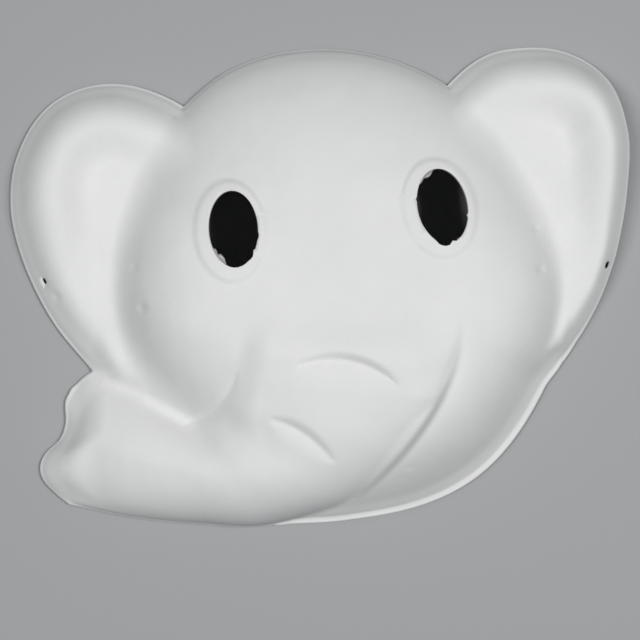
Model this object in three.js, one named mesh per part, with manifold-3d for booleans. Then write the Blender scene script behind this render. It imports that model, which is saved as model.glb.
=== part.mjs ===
// Elephant face mask of moulded paper pulp: one thin hollow wall, lying face up on its flat rim.
// Millimetres. +Z is up out of the face, +Y to the top of the head, +X to the ear that stands clear of
// the trunk. The origin is on the resting plane, under the middle of the outline.
import * as THREE from "three";
import { mergeVertices } from "three/addons/utils/BufferGeometryUtils.js";
import Module from "manifold-3d";

// Driving dimensions

const WALL = 1.8;
const LIP = 0.9;
const LIP_FADE = 9;
const JAW_LIP = { width: 2.1, topY: -10, fallY: 40, sideX: -40, riseX: 25 };
const HEAD_HEIGHT = 40;
const DISH_RUN = 14;
const EAR_END_RUN = 12;
const FILLET = { lowY: -25, riseY: 50, mostOfEar: 0.8 };
const TRUNK_RISE_POWER = 1.9;
const TRUNK_SIDE_POWER = 2;
const TRUNK_ROOT = 1;
const TRUNK_BLEND = 5;
const TRUNK_BLEND_RUN = 6;
const TIP_RUN = 16;
const EYE_RING = { width: 4.6, bevel: 2.2, rise: 0.9, foot: 0.2, sink: 1.1, overlap: 0.8 };
const STRAP_HOLE = { diameter: 2.4, sides: 12 };
const CUT_HEIGHT = 80;

// How finely the wall is divided: points round the outline, rings near the rim (by their distance in from
// the lip) and on the face, slices of the trunk, and the length that a radian of turning counts as, which
// gathers outline points at the notches. The outline is searched for between two distances from the pole.
const OUTLINE_POINTS = 106;
const OUTLINE_BEARINGS = 1080;
const OUTLINE_SEARCH = { nearest: 40, farthest: 160, within: 1e-3 };
const HEADING_SPAN = 2;
const TURN_LENGTH = 12;
const RIM_STEPS = [0, 0.4, 1.1, 1.8, 2.9, 4.4];
const FACE_RINGS = 13;
const TRUNK_SLICES = 180;
const EYE_POINTS = 40;
const WRINKLE_STEPS = 12;
const WRINKLE_END = 0.03;

// The point of the face that the rings close on. All places below are measured from the head's middle.
const POLE = { x: 0, y: 10 };

const table = (columns, rows) =>
  rows.map((row) => Object.fromEntries(columns.map((name, i) => [name, row[i]])));

// The head by bearing in degrees: its reach from its middle, and two powers. The first is how flat its top
// stays, and the second how its side stands on the rim: upright below 1, at a slope at 1, and with a soft
// foot above 1.
const HEAD = table(
  ["bearing", "reach", "flat", "foot"],
  [
    [0, 84.5, 5.4, 1.05],
    [25, 81, 4, 0.85],
    [45, 82, 2.8, 0.66],
    [58, 84, 2.4, 0.6],
    [90, 88.4, 2.2, 0.6],
    [112, 90.3, 2.2, 0.6],
    [125, 88.6, 2.3, 0.6],
    [145, 87, 4, 0.85],
    [180, 85.5, 6.2, 1.1],
    [200, 84, 5.6, 1.2],
    [215, 83, 5.2, 1.35],
    [230, 83.5, 4.8, 1.2],
    [240, 86.2, 4.5, 1.05],
    [248, 89.6, 4.4, 1],
    [253, 87.4, 4.3, 0.97],
    [259, 85.6, 4.2, 0.95],
    [272, 83.6, 4.6, 1],
    [300, 84.4, 6, 1.35],
    [329, 82.3, 6, 1.35],
    [337, 84.8, 6, 1.3],
    [347, 85.5, 5.8, 1.2],
  ],
);

// Each ear by bearing about its own middle: its reach, the run of its rounded edge, and the roll, which is
// how far the crest of that edge stands above the dish. The fillets blend it into the head, high up and low
// down, and it fades out at endY.
const EAR_COLUMNS = ["bearing", "reach", "run", "roll"];
const TRUNK_SIDE_EAR = {
  middle: { x: -75, y: 32 },
  floor: 12.5,
  fillet: 12,
  lowFillet: 12,
  endY: -60,
  rows: table(EAR_COLUMNS, [
    [0, 40, 14, 0],
    [35, 44, 14, 2],
    [66, 46.8, 15, 4],
    [95, 50.8, 16, 6],
    [118, 51.5, 17, 7.5],
    [145, 47.5, 17.5, 7.5],
    [168, 43.9, 17.5, 7],
    [190, 41.8, 16.5, 5.5],
    [211, 42.8, 15, 3.5],
    [231, 47.4, 14, 1.5],
    [248, 54.5, 13, 0],
    [262, 66, 12, 0],
    [285, 80, 12, 0],
    [320, 50, 12, 0],
  ]),
};
const FREE_EAR = {
  middle: { x: 70, y: 35 },
  floor: 13.5,
  fillet: 9,
  lowFillet: 3,
  endY: -38,
  rows: table(EAR_COLUMNS, [
    [22, 42.1, 10.5, 7.5],
    [45, 47.2, 13, 8],
    [67, 48.4, 15, 6.5],
    [86, 47.6, 15.5, 4.5],
    [102, 47.1, 15, 3],
    [125, 44, 14, 1.5],
    [180, 40, 12, 0],
    [240, 60, 10, 0],
    [270, 74, 9, 0],
    [276.5, 69, 8.5, 0],
    [283, 62.5, 8, 0],
    [294, 54.2, 7, 0.5],
    [309, 46, 7.5, 2.5],
    [330, 39.6, 9, 5],
    [355, 38, 9.5, 6.5],
  ]),
};

// The trunk by station, from its root in the face to its tip. Each section runs from an inner edge, on the
// cheek, to an outer edge, on the mouth crease and then the rim. free is the share by which it has left the
// face, seat its height over the inner edge, and lift its rise from there to the crest. innerRun and
// outerRun are the shares of its width in which it rises and falls.
const TRUNK = table(
  ["station", "innerX", "innerY", "outerX", "outerY", "free", "seat", "lift", "innerRun", "outerRun"],
  [
    [0, -31, 0, 41.5, -5, 0, 0, 0, 0.14, 0.3],
    [1, -34.5, -14, 38.8, -23.3, 0, 0, 2, 0.14, 0.3],
    [2, -38, -27.5, 31.5, -41.8, 0, 0, 4.5, 0.17, 0.35],
    [3, -45.5, -36, 18.6, -61.5, 0.45, 12, 12, 0.34, 0.46],
    [4, -53, -40, -3.3, -76.8, 0.95, 16, 20, 0.46, 0.5],
    [5, -60.5, -40.5, -33.5, -83.5, 1, 12.5, 19.5, 0.5, 0.53],
    [6, -69, -35, -58, -80.9, 1, 10, 17, 0.5, 0.53],
    [7, -80, -27.5, -82, -76.6, 1, 7, 15.5, 0.5, 0.53],
    [8, -92, -21.5, -96, -72.6, 1, 1.5, 16, 0.5, 0.53],
    [9, -101.5, -27, -106, -69.5, 1, 0, 15, 0.48, 0.52],
  ],
);

// The tip's two lobes: how far it reaches past the last section, by the share across that section.
const TIP = table(
  ["across", "reach"],
  [
    [0, 0],
    [0.12, 2.2],
    [0.3, 2],
    [0.44, 4],
    [0.56, 9],
    [0.68, 11],
    [0.8, 9.5],
    [0.92, 4.5],
    [1, 0],
  ],
);

const EYES = table(
  ["x", "y", "halfWidth", "halfHeight", "tilt"],
  [
    [-35.8, 23.5, 8.5, 13.4, 0],
    [36.5, 25.2, 8.8, 13.3, 4],
  ],
);

// The wrinkles pressed into the trunk: a curve from start to end that bends toward a third point.
const WRINKLES = table(
  ["startX", "startY", "bendX", "bendY", "endX", "endY", "width", "depth"],
  [
    [-19, -25.5, 2, -20.4, 15.6, -35.6, 4, 1.2],
    [-29.3, -41.8, -17.4, -45, -7.9, -59.2, 4, 1.2],
  ],
);

const STRAP_HOLES = table(
  ["x", "y"],
  [
    [-106.7, 12.5],
    [96, 0.6],
  ],
);

// Curves and blends

const { clamp, degToRad, radToDeg, euclideanModulo, smoothstep } = THREE.MathUtils;
const FULL_TURN = 360;

// A rise from 0 to 1 that starts upright and ends level.
function swell(share, power) {
  return Math.pow(1 - Math.pow(1 - clamp(share, 0, 1), power), 1 / power);
}

// A rise from 0 to 1 that starts at a slope and ends level.
function hump(share, power = 2) {
  return 1 - Math.pow(1 - clamp(share, 0, 1), power);
}

// The larger of two heights, with their meeting rounded where they differ by less than the blend.
function blendedMax(a, b, blend) {
  const overlap = Math.max(blend - Math.abs(a - b), 0);
  return Math.max(a, b) + (blend > 0 ? (overlap * overlap) / (4 * blend) : 0);
}

// A smooth curve through one column of a table, read at a place in its key column. A table with a period
// closes on itself; another one is carried on straight past its ends.
function readTable(rows, key, column, place, period = 0) {
  const count = rows.length;
  const cyclic = (i) => {
    const row = rows[euclideanModulo(i, count)];
    return [row[key] + period * Math.floor(i / count), row[column]];
  };
  const open = (i) => {
    const end = rows[clamp(i, 0, count - 1)];
    const mirrored = rows[clamp(i < 0 ? -i : 2 * (count - 1) - i, 0, count - 1)];
    return i === clamp(i, 0, count - 1)
      ? [end[key], end[column]]
      : [2 * end[key] - mirrored[key], 2 * end[column] - mirrored[column]];
  };
  const closed = period > 0;
  const at = closed ? cyclic : open;
  const [lowest, highest] = [rows[0][key], rows[count - 1][key]];
  const wanted = closed ? euclideanModulo(place, period) : clamp(place, lowest, highest);
  const after = rows.findIndex((row) => row[key] > wanted);
  const last = closed ? count - 1 : count - 2;
  const first = after < 0 ? last : after - 1;
  const [before, from, to, beyond] = [at(first - 1), at(first), at(first + 1), at(first + 2)];
  const span = to[0] - from[0];
  const t = (wanted - from[0]) / span;
  const slopeFrom = ((to[1] - before[1]) / (to[0] - before[0])) * span;
  const slopeTo = ((beyond[1] - from[1]) / (beyond[0] - from[0])) * span;
  const late = t * t * (3 - 2 * t);
  return from[1] * (1 - late) + to[1] * late + (slopeFrom * (1 - t) - slopeTo * t) * t * (1 - t);
}

const byBearing = (rows, column, bearing) => readTable(rows, "bearing", column, bearing, FULL_TURN);

const bearingOf = (x, y) => radToDeg(Math.atan2(y, x));

// The forms, each as a height over the resting plane. inset shrinks a form to the inside of the wall.

// The flat lip is narrow, and widest under the jaw.
function lipWidth(x, y) {
  const low = smoothstep(JAW_LIP.topY - y, 0, JAW_LIP.fallY);
  const side = smoothstep(x - JAW_LIP.sideX, 0, JAW_LIP.riseX);
  return LIP + (JAW_LIP.width - LIP) * low * side;
}

function headHeight(x, y, inset) {
  const bearing = bearingOf(x, y);
  const reach = byBearing(HEAD, "reach", bearing) - lipWidth(x, y) - inset;
  const share = Math.min(Math.hypot(x, y) / reach, 1);
  const flat = byBearing(HEAD, "flat", bearing);
  const foot = byBearing(HEAD, "foot", bearing);
  return (HEAD_HEIGHT - inset) * Math.pow(1 - Math.pow(share, flat), foot);
}

// The distance from an ear's edge, square to it.
function depthInEar(ear, x, y) {
  const [dx, dy] = [x - ear.middle.x, y - ear.middle.y];
  const bearing = bearingOf(dx, dy);
  const reachAt = (degrees) => byBearing(ear.rows, "reach", degrees);
  const reach = reachAt(bearing);
  const growthPerDegree = reachAt(bearing + 0.5) - reachAt(bearing - 0.5);
  return (reach - Math.hypot(dx, dy)) / Math.hypot(1, radToDeg(growthPerDegree) / reach);
}

function earHeight(ear, x, y, inset) {
  const bearing = bearingOf(x - ear.middle.x, y - ear.middle.y);
  const depth = depthInEar(ear, x, y) - lipWidth(x, y) - inset;
  const run = byBearing(ear.rows, "run", bearing);
  const roll = byBearing(ear.rows, "roll", bearing);
  const rim = (ear.floor + roll - inset) * hump(depth / run);
  const dish = rim - roll * smoothstep(depth + 2 * inset, run, run + DISH_RUN);
  return dish * smoothstep(y, ear.endY, ear.endY + EAR_END_RUN);
}

const trunkSlices = Array.from({ length: TRUNK_SLICES }, (_, i) => {
  const place = (i * (TRUNK.length - 1)) / (TRUNK_SLICES - 1);
  const read = (name) => [name, readTable(TRUNK, "station", name, place)];
  const slice = Object.fromEntries(Object.keys(TRUNK[0]).map(read));
  const [dx, dy] = [slice.outerX - slice.innerX, slice.outerY - slice.innerY];
  return { ...slice, dx, dy, width: Math.hypot(dx, dy) };
});

// A point's share across a slice, and its distance ahead of that slice toward the tip.
function placeOnSlice(slice, x, y) {
  const [px, py] = [x - slice.innerX, y - slice.innerY];
  const across = (slice.dx * px + slice.dy * py) / slice.width ** 2;
  const ahead = (slice.dy * px - slice.dx * py) / slice.width;
  return { across, ahead };
}

// The trunk's section through a point, with the share across it and the distance past the last section,
// or null where the trunk doesn't reach.
function trunkSection(x, y) {
  const end = trunkSlices[TRUNK_SLICES - 1];
  const past = placeOnSlice(end, x, y);
  let near = placeOnSlice(trunkSlices[0], x, y);
  for (let i = 1; i < TRUNK_SLICES; i++) {
    const next = placeOnSlice(trunkSlices[i], x, y);
    if (near.ahead >= 0 && next.ahead < 0) {
      const part = near.ahead / (near.ahead - next.ahead);
      const across = near.across + (next.across - near.across) * part;
      if (across > 0 && across < 1) {
        return { slice: trunkSlices[i], across, past: past.ahead };
      }
    }
    near = next;
  }
  const atTip = past.ahead >= 0 && past.across > 0 && past.across < 1;
  return atTip ? { slice: end, across: past.across, past: past.ahead } : null;
}

const tipReach = (across) => readTable(TIP, "across", "reach", across);

function trunkHeight(section, x, y, base, inset) {
  const { slice, across, past } = section;
  const free = clamp(slice.free, 0, 1);
  const edge = (lipWidth(x, y) * free ** 2 + inset) / slice.width;
  const inward = (across - edge) / slice.innerRun;
  const rise = (1 - free) * smoothstep(inward, 0, 1) + free * hump(inward, TRUNK_RISE_POWER);
  const side = swell((1 - edge - across) / slice.outerRun, TRUNK_SIDE_POWER);
  const end = hump((tipReach(across) - lipWidth(x, y) - inset - past) / TIP_RUN);
  const lift = slice.lift * smoothstep(slice.station, 0, TRUNK_ROOT);
  return (1 - free) * base + (Math.max(slice.seat - inset * free, 0) + lift * rise) * side * end;
}

// The whole face, before the eye rings and wrinkles.
function faceHeight(x, y, inset) {
  let height = headHeight(x, y, inset);
  for (const ear of [TRUNK_SIDE_EAR, FREE_EAR]) {
    const earTop = earHeight(ear, x, y, inset);
    const upper = smoothstep(y, FILLET.lowY, FILLET.lowY + FILLET.riseY);
    const fillet = ear.lowFillet + (ear.fillet - ear.lowFillet) * upper;
    height = blendedMax(height, earTop, Math.min(fillet, FILLET.mostOfEar * earTop));
  }
  const section = trunkSection(x, y);
  if (section) {
    const trunkTop = trunkHeight(section, x, y, height, inset);
    const inFromEdge = section.across * section.slice.width;
    const share = clamp(section.slice.free, 0, 1) * smoothstep(inFromEdge, 0, TRUNK_BLEND_RUN);
    height = blendedMax(height, trunkTop, Math.min(TRUNK_BLEND * share, height, trunkTop));
  }
  return height;
}

// The outer skin stands on the top of the lip: it is a wall higher at the rim, and less so farther up.
function outerHeight(x, y) {
  const height = faceHeight(x, y, 0);
  return height + WALL * (1 - smoothstep(height, 0, LIP_FADE));
}

function insideOutline(x, y) {
  if (Math.hypot(x, y) < byBearing(HEAD, "reach", bearingOf(x, y))) {
    return true;
  }
  if ([TRUNK_SIDE_EAR, FREE_EAR].some((ear) => depthInEar(ear, x, y) > 0)) {
    return true;
  }
  const section = trunkSection(x, y);
  return section !== null && section.past < tipReach(section.across);
}

// The outline and the wall

function outlinePoint(bearing) {
  const way = new THREE.Vector2(Math.cos(bearing), Math.sin(bearing));
  const place = (distance) => new THREE.Vector2(POLE.x, POLE.y).addScaledVector(way, distance);
  let near = OUTLINE_SEARCH.nearest;
  let far = OUTLINE_SEARCH.farthest;
  while (far - near > OUTLINE_SEARCH.within) {
    const middle = (near + far) / 2;
    const point = place(middle);
    if (insideOutline(point.x, point.y)) {
      near = middle;
    } else {
      far = middle;
    }
  }
  return place(near);
}

// Points round the outline, closer together where it turns.
function outline() {
  const turn = (i) => (2 * Math.PI * i) / OUTLINE_BEARINGS;
  const fine = Array.from({ length: OUTLINE_BEARINGS }, (_, i) => outlinePoint(turn(i)));
  const at = (i) => fine[euclideanModulo(i, OUTLINE_BEARINGS)];
  const heading = (i) => at(i + HEADING_SPAN).clone().sub(at(i - HEADING_SPAN)).angle();
  const sums = [0];
  for (let i = 0; i < OUTLINE_BEARINGS; i++) {
    const change = heading(i + 1) - heading(i);
    const turned = Math.abs(Math.atan2(Math.sin(change), Math.cos(change)));
    sums.push(sums[i] + at(i).distanceTo(at(i + 1)) + TURN_LENGTH * turned);
  }
  const total = sums[OUTLINE_BEARINGS];
  return Array.from({ length: OUTLINE_POINTS }, (_, i) => {
    const wanted = (total * i) / OUTLINE_POINTS;
    const k = sums.findIndex((sum) => sum > wanted) - 1;
    return at(k).clone().lerp(at(k + 1), (wanted - sums[k]) / (sums[k + 1] - sums[k]));
  });
}

// Rings of plan points, from the rim to the pole: first parallel to the rim, then shrinking to the pole.
function planRings() {
  const rim = outline();
  const at = (i) => rim[euclideanModulo(i, OUTLINE_POINTS)];
  const inward = rim.map((_, i) => {
    const along = at(i + 1).clone().sub(at(i - 1)).normalize();
    return new THREE.Vector2(-along.y, along.x);
  });
  const parallel = (step) =>
    rim.map((point, i) => point.clone().addScaledVector(inward[i], lipWidth(point.x, point.y) + step));
  const nearRim = RIM_STEPS.map(parallel);
  const pole = new THREE.Vector2(POLE.x, POLE.y);
  const start = nearRim[nearRim.length - 1];
  const onFace = Array.from({ length: FACE_RINGS }, (_, j) =>
    start.map((point) => point.clone().lerp(pole, (j + 1) / (FACE_RINGS + 1))),
  );
  return [rim, ...nearRim, ...onFace];
}

// The closed wall: an outer and an inner skin over the same rings, joined round the rim. Each cell of a skin
// is split along the diagonal that lies closer to its surface, so that creases stay clean.
function wallGeometry() {
  const rings = planRings();
  const positions = [];
  const index = [];
  const last = rings.length - 1;
  const pole = rings.length * OUTLINE_POINTS;
  const point = (i) => new THREE.Vector3().fromArray(positions, 3 * i);

  function addSkin(heightAt, rimHeight, facesOut) {
    const first = positions.length / 3;
    const triangle = (a, b, c) => index.push(...[a, b, c].map((i) => first + i));
    const missBy = (a, b) => {
      const middle = point(first + a).lerp(point(first + b), 0.5);
      return Math.abs(middle.z - heightAt(middle.x, middle.y));
    };
    rings.forEach((ring, j) =>
      ring.forEach(({ x, y }) => positions.push(x, y, j === 0 ? rimHeight : heightAt(x, y))),
    );
    positions.push(POLE.x, POLE.y, heightAt(POLE.x, POLE.y));
    for (let i = 0; i < OUTLINE_POINTS; i++) {
      const [here, next] = facesOut ? [i, (i + 1) % OUTLINE_POINTS] : [(i + 1) % OUTLINE_POINTS, i];
      for (let j = 0; j < last; j++) {
        const [a, b] = [here, next].map((k) => k + j * OUTLINE_POINTS);
        const [c, d] = [b + OUTLINE_POINTS, a + OUTLINE_POINTS];
        const corners = missBy(a, c) < missBy(b, d) ? [a, b, c, d] : [b, c, d, a];
        triangle(corners[0], corners[1], corners[2]);
        triangle(corners[0], corners[2], corners[3]);
      }
      triangle(here + last * OUTLINE_POINTS, next + last * OUTLINE_POINTS, pole);
    }
    return first;
  }

  const outer = addSkin(outerHeight, WALL, true);
  const inner = addSkin((x, y) => Math.max(faceHeight(x, y, WALL), 0), 0, false);
  for (let i = 0; i < OUTLINE_POINTS; i++) {
    const next = (i + 1) % OUTLINE_POINTS;
    index.push(inner + i, inner + next, outer + next);
    index.push(inner + i, outer + next, outer + i);
  }
  return geometryOf(positions, index);
}

function geometryOf(positions, index) {
  const geometry = new THREE.BufferGeometry();
  geometry.setAttribute("position", new THREE.Float32BufferAttribute(positions, 3));
  geometry.setIndex(index);
  return geometry;
}

// What is added to the wall and cut from it

function eyeHoleGeometry(eye) {
  const shape = new THREE.Shape();
  const tilt = degToRad(eye.tilt);
  shape.absellipse(eye.x, eye.y, eye.halfWidth, eye.halfHeight, 0, 2 * Math.PI, false, tilt);
  const curveSegments = EYE_POINTS / 2;
  return new THREE.ExtrudeGeometry(shape, { depth: CUT_HEIGHT, bevelEnabled: false, curveSegments });
}

// A flat ring with a bevelled edge, following the face and sunk a little into it.
function eyeRingGeometry(eye) {
  const flat = EYE_RING.width - EYE_RING.bevel;
  const profile = table(
    ["grow", "rise"],
    [
      [-EYE_RING.overlap, -EYE_RING.sink],
      [EYE_RING.width, -EYE_RING.sink],
      [EYE_RING.width, EYE_RING.foot],
      [flat, EYE_RING.rise],
      [-EYE_RING.overlap, EYE_RING.rise],
    ],
  );
  const positions = [];
  const index = [];
  const count = profile.length;
  const centre = new THREE.Vector2(eye.x, eye.y);
  for (let i = 0; i < EYE_POINTS; i++) {
    const turn = (2 * Math.PI * i) / EYE_POINTS;
    profile.forEach(({ grow, rise }, k) => {
      const across = (eye.halfWidth + grow) * Math.cos(turn);
      const up = (eye.halfHeight + grow) * Math.sin(turn);
      const point = new THREE.Vector2(across, up).add(centre);
      const { x, y } = point.rotateAround(centre, degToRad(eye.tilt));
      positions.push(x, y, faceHeight(x, y, 0) + rise);
      const [a, b] = [i * count + k, i * count + ((k + 1) % count)];
      const step = ((i + 1) % EYE_POINTS) * count - i * count;
      index.push(a, b + step, b, a, a + step, b + step);
    });
  }
  return geometryOf(positions, index);
}

// A groove's cutter: a V that follows the face along the wrinkle and tapers to a point at both ends.
function wrinkleGeometry(row) {
  const curve = new THREE.QuadraticBezierCurve(
    new THREE.Vector2(row.startX, row.startY),
    new THREE.Vector2(row.bendX, row.bendY),
    new THREE.Vector2(row.endX, row.endY),
  );
  const positions = [];
  for (let i = 0; i <= WRINKLE_STEPS; i++) {
    const t = i / WRINKLE_STEPS;
    const point = curve.getPoint(t);
    const along = curve.getTangent(t);
    const full = Math.sqrt(Math.max(Math.sin(Math.PI * t), WRINKLE_END));
    const [sideX, sideY] = [-along.y * row.width * full, along.x * row.width * full];
    const surface = faceHeight(point.x, point.y, 0);
    const top = surface + row.depth * full;
    positions.push(point.x + sideX, point.y + sideY, top);
    positions.push(point.x - sideX, point.y - sideY, top);
    positions.push(point.x, point.y, surface - row.depth * full);
  }
  const corners = 3;
  const index = [0, 2, 1];
  for (let i = 0; i < WRINKLE_STEPS; i++) {
    for (let k = 0; k < corners; k++) {
      const [a, b] = [i * corners + k, i * corners + ((k + 1) % corners)];
      index.push(a, b + corners, a + corners, a, b, b + corners);
    }
  }
  const end = WRINKLE_STEPS * corners;
  index.push(end, end + 1, end + 2);
  return geometryOf(positions, index);
}

function strapHoleGeometry(hole) {
  const radius = STRAP_HOLE.diameter / 2;
  const geometry = new THREE.CylinderGeometry(radius, radius, CUT_HEIGHT, STRAP_HOLE.sides);
  geometry.rotateX(Math.PI / 2);
  geometry.translate(hole.x, hole.y, CUT_HEIGHT / 2);
  return geometry;
}

const wasm = await Module();
wasm.setup();

function solidOf(geometry) {
  const bare = geometry.clone();
  bare.deleteAttribute("normal");
  bare.deleteAttribute("uv");
  const merged = mergeVertices(bare);
  const vertProperties = new Float32Array(merged.attributes.position.array);
  const triVerts = new Uint32Array(merged.index.array);
  return new wasm.Manifold(new wasm.Mesh({ numProp: 3, vertProperties, triVerts }));
}

function maskGeometry() {
  let solid = solidOf(wallGeometry());
  for (const eye of EYES) {
    solid = solid.add(solidOf(eyeRingGeometry(eye)));
    solid = solid.subtract(solidOf(eyeHoleGeometry(eye)));
  }
  for (const wrinkle of WRINKLES) {
    solid = solid.subtract(solidOf(wrinkleGeometry(wrinkle)));
  }
  for (const hole of STRAP_HOLES) {
    solid = solid.subtract(solidOf(strapHoleGeometry(hole)));
  }
  const mesh = solid.getMesh();
  const geometry = geometryOf(mesh.vertProperties, [...mesh.triVerts]);
  geometry.computeVertexNormals();
  geometry.computeBoundingBox();
  return geometry;
}

const pulp = new THREE.MeshStandardMaterial({ color: 0xe2e1dd, roughness: 0.92, metalness: 0 });
const mask = new THREE.Mesh(maskGeometry(), pulp);
mask.name = "mask_shell";
const middle = mask.geometry.boundingBox.getCenter(new THREE.Vector3());
mask.position.set(-middle.x, -middle.y, 0);

const group = new THREE.Group();
group.add(mask);

export default group;
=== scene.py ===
import math

import bpy
import numpy as np
from bpy.props import FloatProperty, FloatVectorProperty, PointerProperty
from mathutils import Euler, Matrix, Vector


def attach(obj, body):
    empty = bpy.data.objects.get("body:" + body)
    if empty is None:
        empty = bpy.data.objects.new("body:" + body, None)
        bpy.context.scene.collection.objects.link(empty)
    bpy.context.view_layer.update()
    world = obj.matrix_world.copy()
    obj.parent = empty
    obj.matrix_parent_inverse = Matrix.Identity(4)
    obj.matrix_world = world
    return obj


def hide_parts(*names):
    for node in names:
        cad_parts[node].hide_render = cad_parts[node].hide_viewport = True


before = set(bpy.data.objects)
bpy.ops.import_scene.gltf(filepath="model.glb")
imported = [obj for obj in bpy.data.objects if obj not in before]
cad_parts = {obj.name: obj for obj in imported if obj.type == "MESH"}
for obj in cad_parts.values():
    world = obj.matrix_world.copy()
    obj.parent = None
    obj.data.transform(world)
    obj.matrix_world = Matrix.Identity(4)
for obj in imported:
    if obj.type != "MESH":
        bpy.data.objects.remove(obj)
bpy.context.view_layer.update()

bl_info = {
    "name": "Elephant Mask",
    "version": (1, 0, 0),
    "blender": (4, 5, 0),
    "location": "View3D > Sidebar > Mask",
    "description": "Builds a moulded pulp elephant mask lying face up, with its stage",
    "category": "Object",
}

# The form is worked out in millimetres from the middle of the head, with x to the free ear, y to the top
# of the head and z out of the face. It is turned to metres, and centred on its outline, as it goes into
# the mesh. TINY keeps a division from zero, and ROUNDING is left to a point that lies on an edge.
MM = 0.001
FULL_TURN = 360.0
TINY, ROUNDING = 1e-6, 1e-9


def table(columns, *rows):
    """A table as a dict of named columns, each an array with one value for each row."""
    return dict(zip(columns.split(), np.array(rows, float).T))


# The head by bearing: its reach from its middle, and two powers. The first is how flat its top stays. The
# second is how its side stands on the rim: upright below 1, at a slope at 1, with a soft foot above 1.
HEAD = table(
    "bearing reach flat foot",
    (0, 84.5, 5.4, 1.05),
    (25, 81, 4, 0.85),
    (45, 82, 2.8, 0.66),
    (58, 84, 2.4, 0.6),
    (90, 88.4, 2.2, 0.6),
    (112, 90.3, 2.2, 0.6),
    (125, 88.6, 2.3, 0.6),
    (145, 87, 4, 0.85),
    (180, 85.5, 6.2, 1.1),
    (200, 84, 5.1, 1.2),
    (215, 83, 4.6, 1.3),
    (230, 83.5, 4.4, 1.2),
    (240, 86.2, 4.5, 1.05),
    (248, 89.6, 4.4, 1),
    (253, 87.4, 4.3, 0.97),
    (259, 85.6, 4.2, 0.95),
    (272, 83.6, 4.6, 1),
    (300, 84.4, 6, 1.35),
    (329, 82.3, 6, 1.35),
    (337, 84.8, 6, 1.3),
    (347, 85.5, 5.8, 1.2),
)

# Each ear by bearing about its own middle: its reach, the run of its rounded edge, and the roll, which is
# how far the crest of that edge stands above the dish. floor is the dish's height, the fillets blend the
# ear into the head, high up and low down, and below end_y nothing is left of it.
TRUNK_SIDE_EAR = {
    "middle": (-75, 32),
    "floor": 12.5,
    "fillet": 12,
    "low_fillet": 12,
    "end_y": -60,
    "rows": table(
        "bearing reach run roll",
        (0, 40, 14, 0),
        (35, 44, 14, 2),
        (66, 46.8, 15, 4),
        (95, 50.8, 16, 6),
        (118, 51.5, 17, 7.5),
        (145, 47.5, 17.5, 7.5),
        (168, 43.9, 17.5, 7),
        (190, 41.8, 16.5, 5.5),
        (211, 42.8, 15, 3.5),
        (231, 47.4, 14, 1.5),
        (248, 54.5, 13, 0),
        (262, 66, 12, 0),
        (285, 80, 12, 0),
        (320, 50, 12, 0),
    ),
}
FREE_EAR = {
    "middle": (70, 35),
    "floor": 13.5,
    "fillet": 9,
    "low_fillet": 3,
    "end_y": -38,
    "rows": table(
        "bearing reach run roll",
        (22, 42.1, 10.5, 7.5),
        (45, 47.2, 13, 8),
        (67, 48.4, 15, 6.5),
        (86, 47.6, 15.5, 4.5),
        (102, 47.1, 15, 3),
        (125, 44, 14, 1.5),
        (180, 40, 12, 0),
        (240, 60, 10, 0),
        (270, 74, 9, 0),
        (276.5, 69, 8.5, 0),
        (283, 62.5, 8, 0),
        (294, 54.2, 7, 0.5),
        (309, 46, 7.5, 2.5),
        (330, 39.6, 9, 5),
        (355, 38, 9.5, 6.5),
    ),
}

# For both ears: the runs in which the crest falls to the dish and the ear ends, where the low fillet turns
# into the high one, the most of the ear's height that it takes, and the step in degrees for edges' slants.
DISH_RUN = 14
EAR_END_RUN = 12
FILLET_LOW_Y, FILLET_RISE_Y, FILLET_MOST_OF_EAR = -25, 50, 0.8
SLANT_STEP = 0.5

# The trunk by station, from its root in the face to its tip. Each section runs from an inner edge, on the
# cheek, to an outer edge, on the mouth crease and then the rim. free is the share by which it has left the
# face, seat its height over the inner edge, lift its rise from there to the crest, and the runs are the
# shares of its width in which it rises and falls.
TRUNK = table(
    "station inner_x inner_y outer_x outer_y free seat lift inner_run outer_run",
    (0, -35, 0, 41, -5, 0, 0, 0, 0.14, 0.3),
    (1, -37, -14, 36.8, -22.9, 0, 0, 3.4, 0.14, 0.3),
    (2, -41.5, -26.8, 28.9, -40.3, 0, 0, 3, 0.17, 0.35),
    (3, -47, -35.8, 21.8, -62.9, 0.45, 12.6, 6, 0.19, 0.46),
    (4, -53.5, -40.3, -1.6, -77.9, 0.95, 18.3, 14, 0.34, 0.5),
    (5, -60.5, -40.5, -33.5, -83.5, 1, 12, 18.5, 0.46, 0.53),
    (6, -69, -35, -58, -80.9, 1, 10, 17, 0.5, 0.53),
    (7, -80, -27.5, -82, -76.6, 1, 7, 15.5, 0.5, 0.53),
    (8, -92, -21.5, -96, -72.6, 1, 1.5, 16, 0.5, 0.53),
    (9, -101.5, -27, -106, -69.5, 1, 0, 15, 0.48, 0.52),
)

# For the whole trunk: the powers of its rise and of its side, the station where it has its full lift, its
# rounded meeting with the cheek and where across a section that grows and ends, the slices that it is cut
# into, and the corner of the face that it lies in.
TRUNK_RISE_POWER, TRUNK_SIDE_POWER = 1.9, 2
TRUNK_ROOT = 1.5
TRUNK_BLEND, BLEND_RUN, BLEND_END, BLEND_FALL = 5, 6, 0.8, 0.3
TRUNK_SLICES = 180
TRUNK_MOST_X, TRUNK_MOST_Y = 50, 12

# The tip's two lobes: how far it reaches past the last section, by the share across that section.
TIP = table(
    "across reach",
    (0, 0),
    (0.12, 2.2),
    (0.3, 2),
    (0.44, 4),
    (0.56, 9),
    (0.68, 11),
    (0.8, 9.5),
    (0.92, 4.5),
    (1, 0),
)
TIP_RUN = 16

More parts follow.
